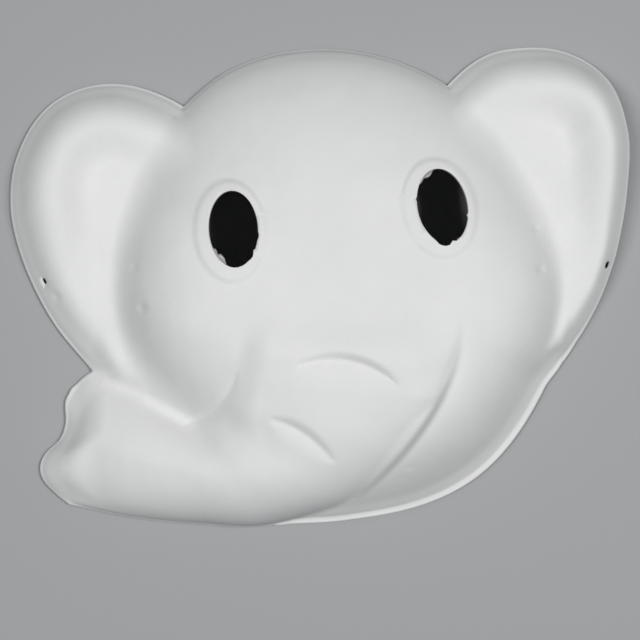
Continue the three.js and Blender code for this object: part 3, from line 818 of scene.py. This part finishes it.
def grain_group():
    """The felted grain of pulp: lumps, fine grain and stretched fibres mixed by their weights. It puts out
    the surface's height and a tone from 0 to 1 for its colour and roughness."""
    group = bpy.data.node_groups.new("pulp_grain", "ShaderNodeTree")
    for name, default in FRONT_GRAIN.items():
        socket = group.interface.new_socket(name, in_out="INPUT", socket_type="NodeSocketFloat")
        socket.default_value = default
    for name in ("Height", "Tone"):
        group.interface.new_socket(name, in_out="OUTPUT", socket_type="NodeSocketFloat")
    nodes, links = group.nodes, group.links
    inputs, outputs = nodes.new("NodeGroupInput"), nodes.new("NodeGroupOutput")
    place = nodes.new("ShaderNodeTexCoord")

    def noise(scale, detail, stretch=None):
        """Noise over the object's own coordinates, stretched and turned where that is given."""
        texture = nodes.new("ShaderNodeTexNoise")
        texture.inputs["Detail"].default_value = detail
        texture.inputs["Scale"].default_value = scale
        vector = place.outputs["Object"]
        if stretch:
            mapping = nodes.new("ShaderNodeMapping")
            mapping.inputs["Scale"].default_value = stretch[0]
            mapping.inputs["Rotation"].default_value = stretch[1]
            links.new(vector, mapping.inputs["Vector"])
            vector = mapping.outputs["Vector"]
        links.new(vector, texture.inputs["Vector"])
        return texture

    def math_node(operation, a, b):
        """The value of an operation on two numbers or sockets."""
        node = nodes.new("ShaderNodeMath")
        node.operation = operation
        for socket, value in zip(node.inputs, (a, b)):
            if isinstance(value, float):
                socket.default_value = value
            else:
                links.new(value, socket)
        return node.outputs["Value"]

    fine = noise(FRONT_GRAIN["Grain Scale"], FINE_DETAIL)
    links.new(inputs.outputs["Grain Scale"], fine.inputs["Scale"])
    lumps = noise(*LUMP_NOISE)
    fibres = [noise(*FIBRE_NOISE, stretch).outputs["Fac"] for stretch in FIBRE_STRETCHES]
    fibre = math_node("MAXIMUM", *fibres)
    height = math_node("MULTIPLY", fine.outputs["Fac"], inputs.outputs["Grain"])
    lump = math_node("MULTIPLY", lumps.outputs["Fac"], inputs.outputs["Lumps"])
    height = math_node("ADD", height, lump)
    height = math_node("ADD", height, math_node("MULTIPLY", fibre, inputs.outputs["Fibres"]))
    links.new(height, outputs.inputs["Height"])
    broad = noise(*BROAD_NOISE)
    fine_tone = math_node("MULTIPLY", fine.outputs["Fac"], FINE_IN_TONE)
    tone = math_node("ADD", broad.outputs["Fac"], fine_tone)
    links.new(math_node("DIVIDE", tone, 1 + FINE_IN_TONE), outputs.inputs["Tone"])
    return group


def pulp_material(name, group, shades, values, bump):
    """Matte pulp: the grain group's tone picks between a deep and a light shade of the colour and sets the
    roughness, its height makes the bump, and the painted shade in the folds darkens the colour."""
    material = bpy.data.materials.new(name)
    material.use_nodes = True
    nodes, links = material.node_tree.nodes, material.node_tree.links
    shader = nodes["Principled BSDF"]
    grain = nodes.new("ShaderNodeGroup")
    grain.node_tree = group
    for socket, value in values.items():
        grain.inputs[socket].default_value = value
    ramp = nodes.new("ShaderNodeValToRGB")
    for element, tone, shade in zip(ramp.color_ramp.elements, SHADE_TONES, shades):
        element.position = tone
        element.color = (*shade, 1)
    rough = nodes.new("ShaderNodeMapRange")
    rough.inputs["To Min"].default_value, rough.inputs["To Max"].default_value = ROUGHNESSES
    height = nodes.new("ShaderNodeBump")
    height.inputs["Strength"].default_value, height.inputs["Distance"].default_value = bump
    links.new(grain.outputs["Tone"], ramp.inputs["Fac"])
    links.new(grain.outputs["Tone"], rough.inputs["Value"])
    links.new(grain.outputs["Height"], height.inputs["Height"])
    # Painted shade: the folds' attribute mixes the colour toward a dark grey.
    dust = nodes.new("ShaderNodeAttribute")
    dust.attribute_name = PAINTED_SHADE_ATTRIBUTE
    painted_shade_mix = nodes.new("ShaderNodeMix")
    painted_shade_mix.data_type = "RGBA"
    painted_shade_mix.inputs["B"].default_value = (*PAINTED_SHADE_COLOUR, 1)
    links.new(dust.outputs["Fac"], painted_shade_mix.inputs["Factor"])
    links.new(ramp.outputs["Color"], painted_shade_mix.inputs["A"])
    links.new(painted_shade_mix.outputs["Result"], shader.inputs["Base Color"])
    links.new(rough.outputs["Result"], shader.inputs["Roughness"])
    links.new(height.outputs["Normal"], shader.inputs["Normal"])
    shader.inputs["Specular IOR Level"].default_value = SPECULAR
    return material


def length(name, description, default):
    """A length in metres, as a property."""
    return FloatProperty(
        name=name, description=description, default=default, min=0, unit="LENGTH", precision=5
    )


def angle(name, description, degrees):
    """An angle, as a property whose default is given in degrees."""
    return FloatProperty(
        name=name, description=description, default=math.radians(degrees), subtype="ANGLE"
    )


def colour(name, description, default):
    """A colour, as a property."""
    return FloatVectorProperty(
        name=name, description=description, default=default, subtype="COLOR", size=3, min=0, max=1
    )


class MaskSizes(bpy.types.PropertyGroup):
    """The sizes of the wall and of the relief on it."""

    wall: length("Wall", "Thickness of the pulp", 0.0018)
    lip: length("Lip", "Width of the flat lip at the ears and trunk", 0.0009)
    jaw_lip: length("Jaw Lip", "Width of the flat lip under the jaw", 0.0021)
    head_height: length("Head Height", "Height of the head's dome over the table", 0.040)
    ring_bevel: length("Ring Bevel", "Width of the ring's soft outer edge", 0.0022)
    ring_rise: length("Ring Rise", "Height of the ring over the face", 0.0009)
    wrinkle_depth: length("Wrinkle Depth", "Depth of the wrinkles in the trunk", 0.0022)
    unevenness: length("Unevenness", "Height of the moulded surface's slow waves", 0.00006)


class PulpColours(bpy.types.PropertyGroup):
    """The colours of the pulp, on the front and inside."""

    front_light: colour("Front Light", "Light shade of the smooth front", (0.80, 0.80, 0.795))
    front_deep: colour("Front Deep", "Deep shade of the smooth front", (0.765, 0.765, 0.762))
    back_light: colour("Back Light", "Light shade of the fibrous inside", (0.74, 0.735, 0.72))
    back_deep: colour("Back Deep", "Deep shade of the fibrous inside", (0.60, 0.595, 0.575))


class StageSettings(bpy.types.PropertyGroup):
    """The floor, the light and the camera."""

    floor_colour: colour("Floor Colour", "Colour of the plain floor", (0.38, 0.385, 0.39))
    floor_size: length("Floor Size", "Width of the floor", 8.0)
    camera_height: length("Camera Height", "Height of the camera over the floor", 0.6)
    view_width: length("View Width", "Width of the floor that the picture shows", 0.23424)
    camera_roll: angle("Camera Roll", "Turn of the picture about the view", -5)
    lamp_power: FloatProperty(
        name="Lamp Power", description="Power of all the lamps", default=16.2, unit="POWER"
    )
    lamp_size: length("Lamp Size", "Width of a soft lamp", 0.34)
    lamp_distance: length("Lamp Distance", "Distance of the lamps from the mask", 1.3)
    lamp_slant: angle("Lamp Slant", "Angle of the lamps from the view", 30)
    fill: FloatProperty(
        name="Fill", description="Strength of the even light from all round", default=0.08, min=0
    )


class MASK_OT_shell(bpy.types.Operator):
    """Builds the mask's moulded wall in place of its plain solid"""

    bl_idname = "mask.make_shell"
    bl_label = "Make Mask Shell"

    def execute(self, context):
        points, faces, finish, dust = shell_mesh(MaskForm(context.scene.mask_sizes))
        mesh = bpy.data.meshes.new("mask")
        mesh.from_pydata(points.tolist(), [], faces)
        if mesh.validate():
            raise RuntimeError("the mask's mesh has faces that aren't valid")
        mesh.polygons.foreach_set("material_index", finish.astype(np.int32))
        mesh.shade_smooth()
        # The painted shade in the folds goes on the mesh as an attribute.
        layer = mesh.attributes.new(PAINTED_SHADE_ATTRIBUTE, "FLOAT", "POINT")
        layer.data.foreach_set("value", dust.astype(np.float32))
        colours = context.scene.pulp_colours
        group = grain_group()
        for name, shades, grain, bump in (
            ("pulp_front", (colours.front_deep, colours.front_light), FRONT_GRAIN, FRONT_BUMP),
            ("pulp_back", (colours.back_deep, colours.back_light), BACK_GRAIN, BACK_BUMP),
        ):
            mesh.materials.append(pulp_material(name, group, shades, grain, bump))
        mask = bpy.data.objects.new("mask", mesh)
        context.scene.collection.objects.link(mask)
        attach(mask, "root")
        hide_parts("mask_shell")
        return {"FINISHED"}


class MASK_OT_stage(bpy.types.Operator):
    """Makes the plain floor, the soft light and the camera over the mask"""

    bl_idname = "mask.make_stage"
    bl_label = "Make Stage"

    def execute(self, context):
        scene = context.scene
        settings = scene.mask_stage
        half = settings.floor_size / 2
        mesh = bpy.data.meshes.new("floor")
        corners = [(-half, -half), (half, -half), (half, half), (-half, half)]
        mesh.from_pydata([(x, y, FLOOR_Z) for x, y in corners], [], [(0, 1, 2, 3)])
        material = bpy.data.materials.new("floor")
        material.use_nodes = True
        shader = material.node_tree.nodes["Principled BSDF"]
        shader.inputs["Base Color"].default_value = (*settings.floor_colour, 1)
        shader.inputs["Roughness"].default_value = FLOOR_ROUGHNESS
        mesh.materials.append(material)
        floor = bpy.data.objects.new("floor", mesh)
        scene.collection.objects.link(floor)

        world = bpy.data.worlds.new("studio")
        world.use_nodes = True
        background = world.node_tree.nodes["Background"]
        background.inputs["Color"].default_value = (*FILL_COLOUR, 1)
        background.inputs["Strength"].default_value = settings.fill
        scene.world = world

        for bearing, share in zip(*LAMPS.values()):
            lamp = bpy.data.lights.new("soft_lamp", "AREA")
            lamp.energy = settings.lamp_power * share / LAMPS["share"].sum()
            lamp.size = settings.lamp_size
            holder = bpy.data.objects.new("soft_lamp", lamp)
            turn = Euler((0, settings.lamp_slant, math.radians(bearing))).to_matrix()
            holder.location = turn @ Vector((0, 0, settings.lamp_distance))
            holder.rotation_euler = turn.to_euler()
            scene.collection.objects.link(holder)

        camera = bpy.data.cameras.new("camera")
        camera.sensor_width = SENSOR
        camera.lens = SENSOR * settings.camera_height / settings.view_width
        holder = bpy.data.objects.new("camera", camera)
        holder.location = (*VIEW_CENTRE, settings.camera_height)
        holder.rotation_euler = (0, 0, settings.camera_roll)
        scene.collection.objects.link(holder)
        scene.camera = holder
        scene.view_settings.view_transform = "Standard"
        return {"FINISHED"}


class MASK_PT_panel(bpy.types.Panel):
    """The mask's sizes, colours and stage, with the steps that build them"""

    bl_idname = "MASK_PT_panel"
    bl_label = "Elephant Mask"
    bl_space_type = "VIEW_3D"
    bl_region_type = "UI"
    bl_category = "Mask"
    built_in = ("rna_type", "name")

    def draw(self, context):
        layout = self.layout
        for group, operator in (
            ("mask_sizes", MASK_OT_shell),
            ("pulp_colours", None),
            ("mask_stage", MASK_OT_stage),
        ):
            settings = getattr(context.scene, group)
            for name in settings.bl_rna.properties.keys():
                if name not in self.built_in:
                    layout.prop(settings, name)
            if operator:
                layout.operator(operator.bl_idname)


CLASSES = (MaskSizes, PulpColours, StageSettings, MASK_OT_shell, MASK_OT_stage, MASK_PT_panel)


def register():
    for cls in CLASSES:
        bpy.utils.register_class(cls)
    bpy.types.Scene.mask_sizes = PointerProperty(type=MaskSizes)
    bpy.types.Scene.pulp_colours = PointerProperty(type=PulpColours)
    bpy.types.Scene.mask_stage = PointerProperty(type=StageSettings)


def unregister():
    for name in ("mask_sizes", "pulp_colours", "mask_stage"):
        delattr(bpy.types.Scene, name)
    for cls in reversed(CLASSES):
        bpy.utils.unregister_class(cls)


def main():
    register()
    bpy.ops.mask.make_shell()
    bpy.ops.mask.make_stage()


if __name__ == "__main__":
    main()
